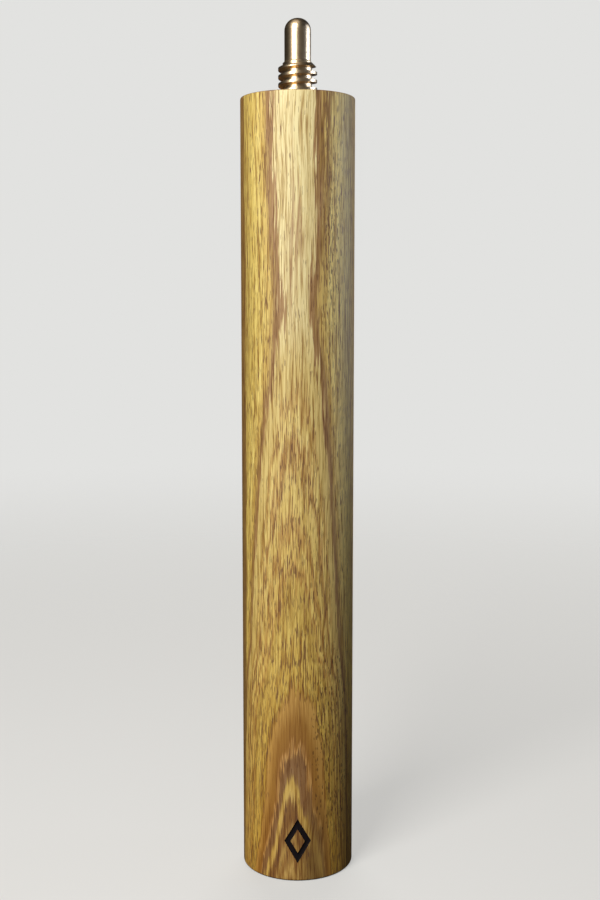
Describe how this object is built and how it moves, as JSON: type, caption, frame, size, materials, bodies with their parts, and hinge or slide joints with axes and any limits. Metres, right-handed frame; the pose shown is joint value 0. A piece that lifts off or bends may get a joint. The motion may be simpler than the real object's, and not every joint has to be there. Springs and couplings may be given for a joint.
{
  "type": "cue butt extension",
  "caption": "Turned hardwood cylinder that lengthens a cue's butt, with a bullet-nosed threaded brass joint pin on top and a matching brass socket in its base.",
  "frame": {"origin": "centre of the flat base", "axes": "+Z along the body towards the joint pin; -Y towards the burned lozenge"},
  "size_m": [0.0296, 0.0296, 0.2232],
  "materials": {
    "hardwood": "fine-sanded and oiled, with a soft satin sheen",
    "brass": "turned and polished, with fine lathe lines"
  },
  "bodies": {
    "root": {"wood_body": "hardwood", "joint_pin": "brass", "base_socket": "brass"}
  },
  "joints": []
}
